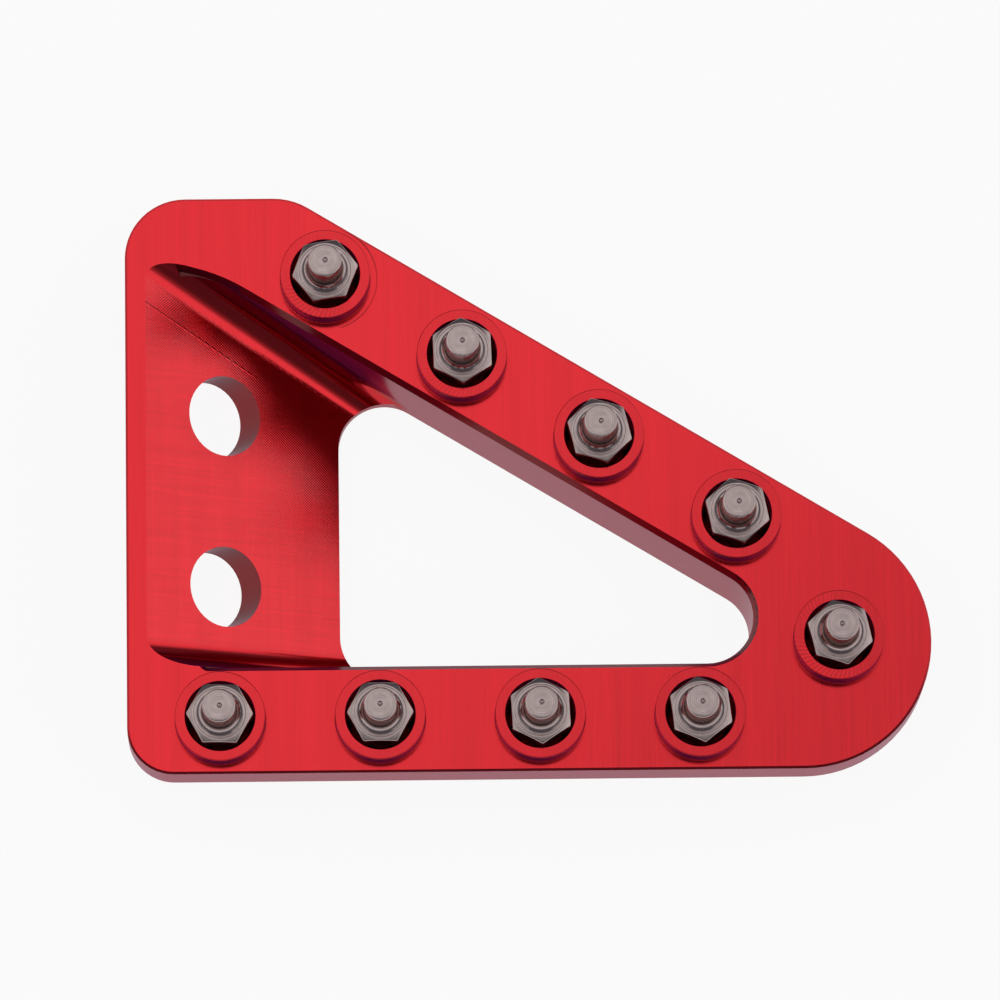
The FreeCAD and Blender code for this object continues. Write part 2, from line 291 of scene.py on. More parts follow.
@dataclass(frozen=True)
class AnodisedAluminium:
    """Dyed anodised aluminium over milled faces.

    The clear oxide over the dyed metal gives a saturated red that turns to a mauve sheen at a
    The face keeps fine cutter marks, which draw streaks across the tread and a
    fine net on the web, and it mirrors softly, so that walls beside it come out dark; painted
    shade also darkens the colour of walls, edges, rims, ledges, fillets and bolt-hole walls.
    """

    face: str = "#E3222D"
    web_face: str = "#E42F37"
    grazing: str = "#89305D"
    roughness: float = 0.14
    roughness_swing: float = 0.05
    wall_roughness: float = 0.34
    # The clear oxide, and the haze that its pores give to a slanting look.
    oxide_weight: float = 0.36
    oxide_roughness: float = 0.15
    oxide_ior: float = 1.6
    haze: str = "#E13FA8"
    haze_weight: float = 0.3
    haze_roughness: float = 0.4
    # Streaks: how often they change in a millimetre along x, y and z.
    tread_streaks: Triple = (1 / GRAIN_PITCH, 0.10, 0.5)
    net_streaks: Triple = (0.12, 0.5 / GRAIN_PITCH, 0.12)
    band_streaks: Triple = (0.5, 0.02, 0.3)
    net_share: float = 0.62
    # Away from the cut faces the marks are even, which is the middle of the noise.
    even: float = 0.5
    # The range of the noise that counts, and for the bands also the light that it gives.
    band_light: tuple[float, ...] = (0.3, 0.7, 0.95, 1.04)
    mark_span: Pair = (0.25, 0.75)
    gloss_span: Pair = (0.2, 0.8)
    # Light of the darkest and the palest mark, and how much further apart they are on the web.
    dark_mark: float = 0.92
    pale_mark: float = 1.06
    web_gain: float = 0.05
    trace_shade: float = 0.16
    # Painted shade: upright faces, rims and ledges have their colour darkened to this part, on top
    # of the dark of their reflections.
    wall_shade: float = 0.71
    # Part of a circle that the facing cutter left beside a boss, and how it fades in along x.
    ring_mark_radius: float = 4.5
    ring_mark_width: float = 0.07
    ring_mark_fade: Pair = (1.0, 3.5)
    # A line that the ball cutter left along the web, at one distance from the slanted wall.
    tool_line_normal: Triple = (0.518, 0.8554, 0.0)
    tool_line_reach: float = 11.83
    tool_line_width: float = 0.10
    tool_line_end: float = 4.6
    tool_line_fade: float = 1.5
    # Ribs round a boss: their sweep in radians per millimetre of radius, how many there are in
    # a full turn, the side on which they are deeper, and how their depth falls across the boss.
    rib_sweep: float = 0.12
    rib_rate: float = 58.0
    rib_side: Triple = (-0.85, -0.5, 0.0)
    rib_fade: tuple[float, ...] = (-2.0, 2.0, 0.15, 1.0)
    # Strength and depth in millimetres of each relief.
    mark_relief: Pair = (0.22, 0.010)
    trace_relief: Pair = (0.6, 0.04)
    cup_relief: Pair = (0.8, 0.0045)
    rib_relief: Pair = (0.6, 0.009)

    def build(self, ring_mark_centre: Pair) -> Material:
        """Builds the material.

        Args:
            ring_mark_centre: x and y, in millimetres, of the boss beside which the facing
                cutter left a part of a circle on the tread.

        Returns:
            The material.
        """
        material, tree = new_material("anodised_aluminium_red")
        object_place = add_node(tree, "TexCoord").outputs["Object"]
        place = add_node(tree, "VectorMath", {0: object_place, "Scale": 1 / MM}, operation="SCALE")
        web, upright, cut, deep = (
            add_node(tree, "Attribute", attribute_name=feature.value).outputs["Fac"]
            for feature in (Feature.WEB_FLOOR, Feature.UPRIGHT, Feature.CUT_FACE, Feature.DEEP_DYE)
        )
        marks = self.cutter_marks(tree, place, web, cut)
        traces = self.tool_traces(tree, place, web, ring_mark_centre)
        light = self.dye_light(tree, place, web, marks, traces)
        # Painted shade: the colour is darkened on upright faces, and by a face attribute on edge
        # breaks, rims, ledges, fillets, bolt-hole walls and bosses.
        for feature, shade in ((upright, self.wall_shade), (deep, 0.0)):
            shaded = add_node(tree, "MapRange", {0: feature, 3: 1.0, 4: shade})
            light = add_node(tree, "Math", (light, shaded), operation="MULTIPLY")
        dyes = {"Factor": web, "A": linear(self.face), "B": linear(self.web_face)}
        dye = add_node(tree, "Mix", dyes, data_type="RGBA")
        tinted = add_node(tree, "VectorMath", {0: dye, "Scale": light}, operation="SCALE")
        normal: dict[str, Node] = {}
        for height, (strength, depth) in (
            (marks, self.mark_relief), (traces, self.trace_relief),
            (self.web_scallops(tree, place, web), self.cup_relief),
            (self.boss_ribs(tree), self.rib_relief),
        ):
            relief = {"Strength": strength, "Distance": depth * MM, "Height": height}
            normal = {"Normal": add_node(tree, "Bump", relief | normal)}
        smooth, dull = self.roughness - self.roughness_swing, self.roughness + self.roughness_swing
        rough = add_node(tree, "MapRange", (marks, *self.gloss_span, smooth, dull))
        rough = add_node(tree, "Mix", {0: upright, 2: rough, 3: self.wall_roughness})
        shader = add_node(tree, "BsdfPrincipled", {
            "Base Color": tinted,
            "Metallic": 1.0,
            "Roughness": rough,
            "Specular Tint": linear(self.grazing),
            "Coat Weight": self.oxide_weight,
            "Coat Roughness": self.oxide_roughness,
            "Coat IOR": self.oxide_ior,
            "Sheen Weight": self.haze_weight,
            "Sheen Roughness": self.haze_roughness,
            "Sheen Tint": linear(self.haze),
        } | normal)
        add_node(tree, "OutputMaterial", {"Surface": shader})
        return material

    def dye_light(self, tree: Tree, place: Node, web: Socket, marks: Node, traces: Node) -> Node:
        """How light the dye looks: broad bands times fine marks, less the traces of single cuts.

        Args:
            tree: the material's tree.
            place: place on the piece in millimetres.
            web: 1 on the web's floor.
            marks: the fine cutter marks.
            traces: the traces of single cuts.

        Returns:
            A factor for the dye's colour.
        """
        bands = self.streaks(tree, place, self.band_streaks)
        bands = add_node(tree, "MapRange", (bands, *self.band_light))
        dark, pale = (
            add_node(tree, "Math", (web, gain, light), operation="MULTIPLY_ADD")
            for gain, light in ((-self.web_gain, self.dark_mark), (self.web_gain, self.pale_mark))
        )
        fine = add_node(tree, "MapRange", (marks, *self.mark_span, dark, pale))
        light = add_node(tree, "Math", (bands, fine), operation="MULTIPLY")
        return add_node(tree, "Math", (traces, -self.trace_shade, light), operation="MULTIPLY_ADD")

    @staticmethod
    def streaks(tree: Tree, place: Node, per_mm: Triple) -> Node:
        """Noise drawn out into streaks.

        Args:
            tree: the material's tree.
            place: place on the piece in millimetres.
            per_mm: how often the noise changes along each axis.

        Returns:
            Noise about one half.
        """
        drawn = add_node(tree, "VectorMath", (place, per_mm), operation="MULTIPLY")
        noise = {"Vector": drawn, "Scale": 1.0, "Detail": 3.0, "Roughness": 0.6}
        return add_node(tree, "TexNoise", noise)

    def cutter_marks(self, tree: Tree, place: Node, web: Socket, cut: Socket) -> Node:
        """Fine marks across the tread and both ways on the web, and none on the other faces.

        Args:
            tree: the material's tree.
            place: place on the piece in millimetres.
            web: 1 on the web's floor.
            cut: 1 on the faces that a cutter finished.

        Returns:
            Noise about one half.
        """
        across = self.streaks(tree, place, self.tread_streaks)
        crossed = self.streaks(tree, place, self.net_streaks)
        net = add_node(tree, "Mix", {0: self.net_share, 2: across, 3: crossed})
        marks = add_node(tree, "Mix", {0: web, 2: across, 3: net})
        return add_node(tree, "Mix", {0: cut, 2: self.even, 3: marks})

    @staticmethod
    def ridge(tree: Tree, value: Node, centre: float, width: float) -> Node:
        """Smooth ridge over a value.

        Args:
            tree: the material's tree.
            value: what the ridge is a function of.
            centre: the value at its top.
            width: how far from there it has fallen to 0.

        Returns:
            1 at the centre, and less by a smooth step of the distance from it.
        """
        away = add_node(tree, "Math", (value, centre), operation="SUBTRACT")
        away = add_node(tree, "Math", (away,), operation="ABSOLUTE")
        return add_node(
            tree, "MapRange", (away, width, 0.0, 0.0, 1.0), interpolation_type="SMOOTHSTEP"
        )

    def tool_traces(self, tree: Tree, place: Node, web: Socket, ring_mark_centre: Pair) -> Node:
        """Two traces of single cuts: part of a circle on the tread, and a line along the web.

        The circle lies at one distance from the boss's axis and fades out towards its back. The
        line lies at one distance from the slanted wall and ends before the opening.

        Args:
            tree: the material's tree.
            place: place on the piece in millimetres.
            web: 1 on the web's floor.
            ring_mark_centre: x and y of the circle's centre.

        Returns:
            1 along both traces and 0 away from them.
        """
        centre = (*ring_mark_centre, 0.0)
        flat = add_node(tree, "VectorMath", (place, (1, 1, 0)), operation="MULTIPLY")
        away = add_node(tree, "VectorMath", (flat, centre), operation="DISTANCE")
        ring = self.ridge(tree, away, self.ring_mark_radius, self.ring_mark_width)
        ahead = add_node(tree, "SeparateXYZ", (place,)).outputs["X"]
        begin, full = (centre[0] + fade for fade in self.ring_mark_fade)
        shown = add_node(tree, "MapRange", (ahead, begin, full))
        ring = add_node(tree, "Math", (ring, shown), operation="MULTIPLY")
        across = (place, self.tool_line_normal)
        reach = add_node(tree, "VectorMath", across, operation="DOT_PRODUCT")
        line = self.ridge(tree, reach, self.tool_line_reach, self.tool_line_width)
        last = self.tool_line_end - self.tool_line_fade
        shown = add_node(tree, "MapRange", (ahead, self.tool_line_end, last))
        for strength in (shown, web):
            line = add_node(tree, "Math", (line, strength), operation="MULTIPLY")
        return add_node(tree, "Math", (ring, line), operation="ADD")

    @staticmethod
    def web_scallops(tree: Tree, place: Node, web: Socket) -> Node:
        """Rows of shallow cups that a ball cutter left: a sine down the web times one across it.

        Args:
            tree: the material's tree.
            place: place on the piece in millimetres.
            web: 1 on the web's floor.

        Returns:
            Height from -1 to 1, and 0 away from the web.
        """
        apart = add_node(tree, "SeparateXYZ", (place,)).outputs
        turns = FULL_TURN / SCALLOP_PITCH
        waves = []
        for axis in ("X", "Y"):
            wave = add_node(tree, "Math", (apart[axis], turns), operation="MULTIPLY")
            waves.append(add_node(tree, "Math", (wave,), operation="SINE"))
        cups = add_node(tree, "Math", tuple(waves), operation="MULTIPLY")
        return add_node(tree, "Math", (cups, web), operation="MULTIPLY")

    def boss_ribs(self, tree: Tree) -> Node:
        """Ribs where the facing cutter stepped round a boss.

        Args:
            tree: the material's tree.

        Returns:
            Height from -1 to 1: a sine of the angle plus a part of the radius, times how deep
            the ribs of this boss are, fading from one side of it to the other.
        """
        local = add_node(tree, "Attribute", attribute_name=Feature.BOSS_PLACE.value)
        local = local.outputs["Vector"]
        ribbed = add_node(tree, "Attribute", attribute_name=Feature.RIBBED.value).outputs["Fac"]
        apart = add_node(tree, "SeparateXYZ", (local,)).outputs
        radius = add_node(tree, "VectorMath", (local,), operation="LENGTH")
        angle = add_node(tree, "Math", (apart["Y"], apart["X"]), operation="ARCTAN2")
        swept = add_node(tree, "Math", (radius, self.rib_sweep, angle), operation="MULTIPLY_ADD")
        ribs = add_node(tree, "Math", (swept, self.rib_rate), operation="MULTIPLY")
        ribs = add_node(tree, "Math", (ribs,), operation="SINE")
        side = add_node(tree, "VectorMath", (local, self.rib_side), operation="DOT_PRODUCT")
        side = add_node(tree, "MapRange", (side, *self.rib_fade))
        for strength in (ribbed, side):
            ribs = add_node(tree, "Math", (ribs, strength), operation="MULTIPLY")
        return ribs


@dataclass(frozen=True)
class TurnedSteel:
    """Plain turned stainless steel: a warm grey metal whose lathe marks draw fine circles."""

    face: str = "#B5A4A2"
    grazing: str = "#C4B8B6"
    roughness: float = 0.19
    dull_by: float = 0.08
    smooth_by: float = 0.04
    cloud_share: float = 0.45
    cloud_scale: float = 1.3
    mark_span: Pair = (0.3, 0.7)
    mark_light: Pair = (0.82, 1.10)
    relief_strength: float = 0.5
    relief_depth: float = 0.02

    def build(self) -> Material:
        """Builds the material: noise along the radius plus the height, mixed with faint clouds.

        Returns:
            The material.
        """
        material, tree = new_material("turned_stainless_steel")
        local = add_node(tree, "Attribute", attribute_name=Feature.AXIS_PLACE.value)
        local = local.outputs["Vector"]
        height = add_node(tree, "SeparateXYZ", (local,)).outputs["Z"]
        flat = add_node(tree, "VectorMath", (local, (1, 1, 0)), operation="MULTIPLY")
        radius = add_node(tree, "VectorMath", (flat,), operation="LENGTH")
        tool = add_node(tree, "Math", (radius, height), operation="ADD")
        drawn = add_node(tree, "Math", (tool, 1 / LATHE_PITCH), operation="MULTIPLY")
        rings = add_node(tree, "TexNoise", {
            "W": drawn, "Scale": 1.0, "Detail": 2.0, "Roughness": 0.55,
        }, noise_dimensions="1D")
        cloud = add_node(tree, "TexNoise", {
            "Vector": local, "Scale": self.cloud_scale, "Detail": 3.0,
        })
        both = add_node(tree, "Mix", {0: self.cloud_share, 2: rings, 3: cloud})
        light = add_node(tree, "MapRange", (both, *self.mark_span, *self.mark_light))
        face = linear(self.face)[:3]
        tinted = add_node(tree, "VectorMath", {0: face, "Scale": light}, operation="SCALE")
        dull, smooth = self.roughness + self.dull_by, self.roughness - self.smooth_by
        rough = add_node(tree, "MapRange", (both, *self.mark_span, dull, smooth))
        bump = add_node(tree, "Bump", {
            "Strength": self.relief_strength, "Distance": self.relief_depth * MM, "Height": rings,
        })
        shader = add_node(tree, "BsdfPrincipled", {
            "Base Color": tinted, "Metallic": 1.0, "Roughness": rough, "Normal": bump,
            "Specular Tint": linear(self.grazing),
        })
        add_node(tree, "OutputMaterial", {"Surface": shader})
        return material


@dataclass(frozen=True)
class WhitePaper:
    """Smooth matt white paper: a plain white ground that takes a soft shadow."""

    face: str = "#F0F0F1"
    lift: float = 0.92

    def build(self) -> Material:
        """Builds the material: plain paper for soft light, lifted nearly to white as a background.

        Returns:
            The material.
        """
        material, tree = new_material("matt_white_paper")
        paper = add_node(tree, "BsdfDiffuse", {"Color": linear(self.face)})
        path = add_node(tree, "LightPath").outputs
        seen = path["Is Camera Ray"]
        for ray in ("Is Glossy Ray", "Is Transmission Ray"):
            seen = add_node(tree, "Math", (seen, path[ray]), operation="MAXIMUM")
        glow = add_node(tree, "Emission", {"Color": (1, 1, 1, 1), "Strength": 1.0})
        lifted = add_node(tree, "MixShader", (self.lift, paper, glow))
        both = add_node(tree, "MixShader", (seen, paper, lifted))
        add_node(tree, "OutputMaterial", {"Surface": both})
        return material


@dataclass(frozen=True)
class PinSizes:
    """Sizes of a grip pin and of the boss that it stands in, measured from the tread face."""

    boss_radius: float = 3.875
    boss_height: float = 2.2
    boss_root: float = 0.07
    boss_break: float = 0.08
    bore_radius: float = 3.0
    bore_depth: float = 1.4
    bore_break: float = 0.05
    thread_radius: float = 2.0
    thread_depth: float = 5.4
    cone_drop: float = 0.6
    shank_radius: float = 1.95
    shank_length: float = 4.6
    shank_break: float = 0.25
    across_flats: float = 5.0
    corner_power: int = 70
    hex_stand: float = 1.7
    hex_face_radius: float = 2.375
    hex_slope: float = 30.0
    edge_soft: float = 0.04
    groove_radii: Triple = (2.24, 2.20, 2.16)
    groove_depth: float = 0.01
    neck_radius: float = 1.15
    neck_sweep: float = 57.0
    tip_radius: float = 1.45
    tip_height: float = 4.2
    tip_break: float = 0.2
    tip_rings: Pair = (0.9, 0.5)
    # The centre mark: a burr stands round it, and it is a cup of two rings, each with its part
    # of the mark's radius and its depth.
    mark_radius: float = 0.22
    mark_burr: float = 0.01
    burr_width: float = 0.06
    mark_cup: tuple[Pair, Pair] = ((0.75, 0.05), (0.25, 0.12))
    mark_reach: float = 0.3

    @property
    def foot(self) -> float:
        """Height of the counterbore's floor."""
        return self.boss_height - self.bore_depth

    @property
    def face(self) -> float:
        """Height of the hexagon's top face."""
        return self.boss_height + self.hex_stand

    @property
    def top(self) -> float:
        """Height of the pin's tip."""
        return self.face + self.tip_height

    @property
    def corner_fall(self) -> float:
        """How far the cone that turns the hexagon's corners falls per millimetre of radius."""
        return math.tan(math.radians(self.hex_slope))

    @property
    def neck_top(self) -> float:
        """Height at which the flared neck has become the straight tip."""
        return self.face + self.neck_radius * math.sin(math.radians(self.neck_sweep))


@dataclass
class GripPin:
    """One turned steel pin: shank, hexagon foot with turned corners, flared neck and tip."""

    name: str
    turn: float
    mark_shift: Pair
    sizes: PinSizes = field(default_factory=PinSizes)
    # Places from a corner of the hexagon to the middle of its side, in degrees.
    half_side: tuple[float, ...] = (0.0, 0.5, 1.1, 2.0, 4.0, 8.0, 13.0, 18.0, 24.0, 30.0)

    def centre(self) -> np.ndarray:
        """Finds the pin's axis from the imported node's box.

        Returns:
            The point of the axis on the tread face, in millimetres.
        """
        low, high = (np.array(corner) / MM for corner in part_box(self.name))
        middle = (low + high) / 2
        return np.array([middle[0], middle[1], high[2] - self.sizes.top])

    def angles(self) -> np.ndarray:
        """Spaces out the places round the hexagon, close together at its corners.

        Returns:
            Angles in radians, the first corner at 0.
        """
        half = np.array(self.half_side)
        sector = np.concatenate([half, HEX_SECTOR - half[-2:0:-1]])
        return np.radians((np.arange(6)[:, None] * HEX_SECTOR + sector).ravel())

    def hexagon(self, angles: np.ndarray) -> np.ndarray:
        """Outline of a hexagon with its corners just rounded.

        Args:
            angles: places round it, in radians.

        Returns:
            The radius there: half the width over the root of a sum of the cosines to the six
            flats, each raised to the same high power.
        """
        power = self.sizes.corner_power
        flats = np.radians(HEX_SECTOR / 2 + HEX_SECTOR * np.arange(6))
        facing = np.clip(np.cos(angles[:, None] - flats), 0, None)
        return self.sizes.across_flats / 2 / (facing ** power).sum(axis=1) ** (1 / power)

    def turned_profile(self) -> list[Pair]:
        """Profile of the parts that are round: the hexagon's face, the neck, the tip and its mark.

        Returns:
            Radius and height of each ring, from the edge of the hexagon's face inwards.
        """
        s = self.sizes
        neck = (s.tip_radius + s.neck_radius, s.neck_top)
        flat = s.top - s.mark_burr
        outer, groove, inner = s.groove_radii
        return [
            (s.hex_face_radius + s.edge_soft, s.face - s.edge_soft * s.corner_fall),
            (s.hex_face_radius - s.edge_soft, s.face),
            (outer, s.face), (groove, s.face - s.groove_depth), (inner, s.face),
            *arc(neck, s.neck_radius, 180 + s.neck_sweep, 180, steps=8),
            *arc((s.tip_radius - s.tip_break, flat - s.tip_break), s.tip_break, 0, 90, steps=6),
            *((radius, flat) for radius in s.tip_rings),
            (s.mark_radius + s.burr_width, flat), (s.mark_radius, s.top),
            *((s.mark_radius * share, flat - depth) for share, depth in s.mark_cup),
        ]

    def rings(self) -> np.ndarray:
        """Rings of the whole pin about its own axis, from the shank's end up to the centre mark.

        A cone turns the hexagon's corners: each point of it lies lower by a slope times its own
        radius. Near the centre mark the rings shift sideways with it.

        Returns:
            Points in millimetres, by ring, angle and axis.
        """
        s = self.sizes
        angles = self.angles()
        hexagon = self.hexagon(angles)
        inside = hexagon - s.edge_soft
        plain = np.ones_like(angles)
        start = s.foot - s.shank_length
        stack = [
            (plain * (s.shank_radius - s.shank_break), plain * start),
            (plain * s.shank_radius, plain * (start + s.shank_break)),
            (plain * s.shank_radius, plain * s.foot),
            (inside, plain * s.foot),
            (hexagon, plain * (s.foot + s.edge_soft)),
            (hexagon, s.face - (hexagon - s.hex_face_radius) * s.corner_fall - s.edge_soft),
            (inside, s.face - (inside - s.hex_face_radius) * s.corner_fall),
        ]
        stack += [(plain * radius, plain * height) for radius, height in self.turned_profile()]
        radius, height = np.array(stack).transpose(1, 0, 2)
        turned = angles + math.radians(self.turn)
        points = np.stack([radius * np.cos(turned), radius * np.sin(turned), height], axis=-1)
        near_mark = np.clip(1 - (radius - s.mark_radius) / s.mark_reach, 0, 1)
        shifted = near_mark * (height > s.neck_top)
        points[..., :2] += shifted[..., None] * self.mark_shift
        return points

    def build(self, finish: Material) -> bpy.types.Object:
        """Makes the pin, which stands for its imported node.

        Args:
            finish: the pin's material.

        Returns:
            The pin.
        """
        points, polygons = ring_grid(self.rings(), 0, True, True)
        shell = Shell(points + self.centre(), polygons)
        obj = shell.to_object(self.name + "_turned", {Feature.AXIS_PLACE: points})
        obj.data.materials.append(finish)
        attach(obj, "root")
        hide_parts(self.name)
        return obj


@dataclass
class PedalPlate:
    """The milled plate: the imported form, with its bosses turned finer and its faces told apart."""

    pins: list[GripPin]
    sizes: PinSizes = field(default_factory=PinSizes)
    around: int = 96
    web_normal: Triple = (0.5, 0.0, math.cos(math.radians(30)))
    edge_break: float = 0.2
    ledge_depth: float = 0.9
    bolt_hole_radius: float = 3.5
    bolt_hole_apart: float = 15.0
    bolt_hole_slack: float = 0.02
    # How deep the cutter's ribs are by each boss, as a part of the deepest.
    ribbed: dict[str, float] = field(default_factory=dict)
    faint_ribs: float = 0.05
    # How much the colour is darkened against an open face: painted shade, for the dark of the
    # reflections and the shade on edge breaks, bolt-hole walls, rims, fillets, ledges and bosses.
    edge_painted_shade: float = 0.28
    bolt_hole_painted_shade: float = 0.6
    rim_painted_shade: float = 0.6
    fillet_painted_shade: float = 0.25
    ledge_painted_shade: float = 0.85
    boss_painted_shade: float = 0.08
    # Parts of a normal, upwards or along the web's, that tell the faces apart.
    edge_slopes: Pair = (0.2, 0.95)
    rim_slopes: Pair = (0.30, 0.54)
    level_slope: float = 0.999
    milled_slope: float = 0.99
    fillet_slope: float = 0.88
    hole_slope: float = 0.5
    wall_slope: float = 0.1
    square_slope: float = 0.03

    def packed(self) -> tuple[np.ndarray, np.ndarray]:
        """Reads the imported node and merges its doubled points.

        Returns:
            Points in millimetres, and triangles of point numbers.
        """
        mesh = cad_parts["pedal_plate"].data
        flat = np.empty(len(mesh.vertices) * 3, np.float32)
        mesh.vertices.foreach_get("co", flat)
        corners = np.empty(len(mesh.loops), np.int32)
        mesh.loops.foreach_get("vertex_index", corners)
        points = flat.reshape(-1, 3).astype(float) / MM
        keys = np.round(points, decimals=4)
        _, where, back = np.unique(keys, axis=0, return_index=True, return_inverse=True)
        triangles = back.ravel()[corners].reshape(-1, 3)
        whole = (triangles != np.roll(triangles, 1, axis=1)).all(axis=1)
        return points[where], triangles[whole]

    def boss_profile(self) -> list[Pair]:
        """Profile of a boss from its root, over its ring and down its hole.

        Returns:
            Radius and height of each ring.
        """
        s = self.sizes
        shoulder = (s.boss_radius - s.boss_break, s.boss_height - s.boss_break)
        mouth = (s.bore_radius + s.bore_break, s.boss_height - s.bore_break)
        return [
            *arc((s.boss_radius + s.boss_root, s.boss_root), s.boss_root, 270, 180, steps=6),
            *arc(shoulder, s.boss_break, 0, 90, steps=5),
            *arc(mouth, s.bore_break, 90, 180, steps=5),
            (s.bore_radius, s.foot),
            (s.thread_radius, s.foot - s.cone_drop),
            (s.thread_radius, s.foot - s.thread_depth),
        ]

    def without_bosses(
        self, points: np.ndarray, triangles: np.ndarray, centres: np.ndarray
    ) -> tuple[np.ndarray, np.ndarray]:
        """Takes the bosses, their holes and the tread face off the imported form.

        Args:
            points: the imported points.
            triangles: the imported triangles.
            centres: the bosses' axes on the tread face.

        Returns:
            The triangles that stay, and the tread face's borders away from the bosses, as
            pairs of point numbers: the sides that only one of its triangles has.
        """
        tread = centres[0, 2]
        near = np.linalg.norm(points[:, None, :2] - centres[:, :2], axis=2).min(axis=1)
        high = points[:, 2] > tread + ON_CIRCLE
        level = np.abs(points[:, 2] - tread) < ON_PLANE
        in_hole = near < self.sizes.thread_radius + ON_CIRCLE
        flat = level[triangles].all(axis=1)
        gone = high[triangles].any(axis=1) | in_hole[triangles].all(axis=1)
        edges = triangles[flat & ~gone][:, [[0, 1], [1, 2], [2, 0]]].reshape(-1, 2)
        lone, times = np.unique(np.sort(edges, axis=1), axis=0, return_counts=True)
        border = lone[times == 1]
        on_boss = (near[border] < self.sizes.boss_radius + ON_CIRCLE).all(axis=1)
        return triangles[~flat & ~gone], border[~on_boss]

    def shell(self) -> tuple[Shell, np.ndarray, np.ndarray]:
        """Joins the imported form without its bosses, a new tread face and the finer bosses.

        Returns:
            The shell; for each point its place from its boss's axis; for each polygon how deep
            its ribs are, 0 away from the bosses.
        """
        points, triangles = self.packed()
        centres = np.array([pin.centre() for pin in self.pins])
        kept, border = self.without_bosses(points, triangles, centres)
        angles = np.arange(self.around) * FULL_TURN / self.around
        polygons = kept.tolist()
        ribs = [0.0] * len(polygons)
        parts, places, borders = [points], [np.zeros((len(points), 3))], [border]
        first = len(points)
        for pin, centre in zip(self.pins, centres):
            rings = turned_rings(self.boss_profile(), angles, centre)
            grown, faces = ring_grid(rings, first, False, True)
            circle = first + np.arange(self.around)
            borders.append(np.stack([circle, np.roll(circle, -1)], axis=1))
            parts.append(grown)
            places.append((grown - centre) * (1, 1, 0))
            polygons += faces
            ribs += [self.ribbed.get(pin.name, self.faint_ribs)] * len(faces)
            first += len(grown)
        everything = np.concatenate(parts)
        tread_face = self.face_between(everything, np.concatenate(borders))
        polygons += tread_face
        ribs += [0.0] * len(tread_face)
        used = np.unique(np.concatenate([np.array(face) for face in polygons]))
        renumber = np.full(len(everything), -1)
        renumber[used] = np.arange(len(used))
        shell = Shell(everything[used], [renumber[face].tolist() for face in polygons])
        return shell, np.concatenate(places)[used], np.array(ribs)

    @staticmethod
    def face_between(points: np.ndarray, edges: np.ndarray) -> list:
        """Triangles of the level face inside an odd number of the loops that the edges make.

        A line from a triangle's middle towards +X tells how many loops it is in: it is inside
        where the line crosses an odd number of edges.

        Args:
            points: all points; the edges' points lie at one height.
            edges: pairs of point numbers.

        Returns:
            Triangles of point numbers, anticlockwise from above.
        """
        used, local = np.unique(edges, return_inverse=True)
        flat = [Vector(p) for p in points[used, :2]]
        # No faces go in, 0 asks for the whole hull, and points within the last number are one.
        made = delaunay_2d_cdt(flat, local.reshape(-1, 2).tolist(), [], 0, 1e-6)
        source = [origins[0] if origins else -1 for origins in made[3]]
        faces = np.array([[source[i] for i in face] for face in made[2]])
        corners = points[used[faces], :2]
        middle = corners.mean(axis=1)
        a, b = points[edges[:, 0], :2], points[edges[:, 1], :2]
        spans = (a[:, 1] > middle[:, None, 1]) != (b[:, 1] > middle[:, None, 1])
        rise = np.where(a[:, 1] == b[:, 1], 1.0, b[:, 1] - a[:, 1])
        crossing = a[:, 0] + (middle[:, None, 1] - a[:, 1]) * (b[:, 0] - a[:, 0]) / rise
        inside = (spans & (crossing > middle[:, None, 0])).sum(axis=1) % 2 == 1
        side = corners[:, 1:] - corners[:, :1]
        upward = side[:, 0, 0] * side[:, 1, 1] - side[:, 0, 1] * side[:, 1, 0] > 0
        faces[~upward] = faces[~upward][:, ::-1]
        return used[faces[inside]].tolist()

    def in_bolt_hole(self, shell: Shell) -> np.ndarray:
        """Tells which polygons have all their corners on the wall of a bolt hole.

        Args:
            shell: the whole plate.

        Returns:
            True by polygon where each corner lies one radius from a hole's axis.
        """
        axis = np.array(self.web_normal)
        away = []
        for side in (-0.5, 0.5):
            arm = shell.points - (0.0, side * self.bolt_hole_apart, 0.0)
            away.append(np.linalg.norm(arm - (arm @ axis)[:, None] * axis, axis=1))
        off_wall = np.abs(np.array(away) - self.bolt_hole_radius).min(axis=0)
        return np.array([(off_wall[face] < self.bolt_hole_slack).all() for face in shell.polygons])

    def features(self, shell: Shell, ribs: np.ndarray) -> dict[Feature, np.ndarray]:
        """Tells the faces apart by their height and by where they look.

        Args:
            shell: the whole plate, with a triangle of the tread face as its last polygon.
            ribs: for each polygon how deep its ribs are, 0 away from the bosses.

        Returns:
            For each polygon whether it is the web's floor, an upright wall or a face that a
            cutter finished, its ribs, and how much painted shade darkens its colour.
        """
        normals = shell.normals()
        up = normals[:, 2]
        facing_web = normals @ np.array(self.web_normal)
        tread = shell.points[shell.polygons[-1][0], 2]
        foot = tread - self.ledge_depth
        middle = np.array([shell.points[face, 2].mean() for face in shell.polygons])
        on_boss = ribs > 0
        half = self.edge_break / 2
        low, high = self.edge_slopes
        edge = (np.abs(middle - tread + half) < half) & (up > low) & (up < high)
        bolt_hole = self.in_bolt_hole(shell) & (facing_web < self.hole_slope)
        ledge = (np.abs(middle - foot) < ON_PLANE) & (up > self.level_slope)
        low, high = self.rim_slopes
        rim = (up > low) & (up < high) & (middle > foot)
        fillet = (facing_web < self.fillet_slope) & (up > self.wall_slope) & (middle < foot)
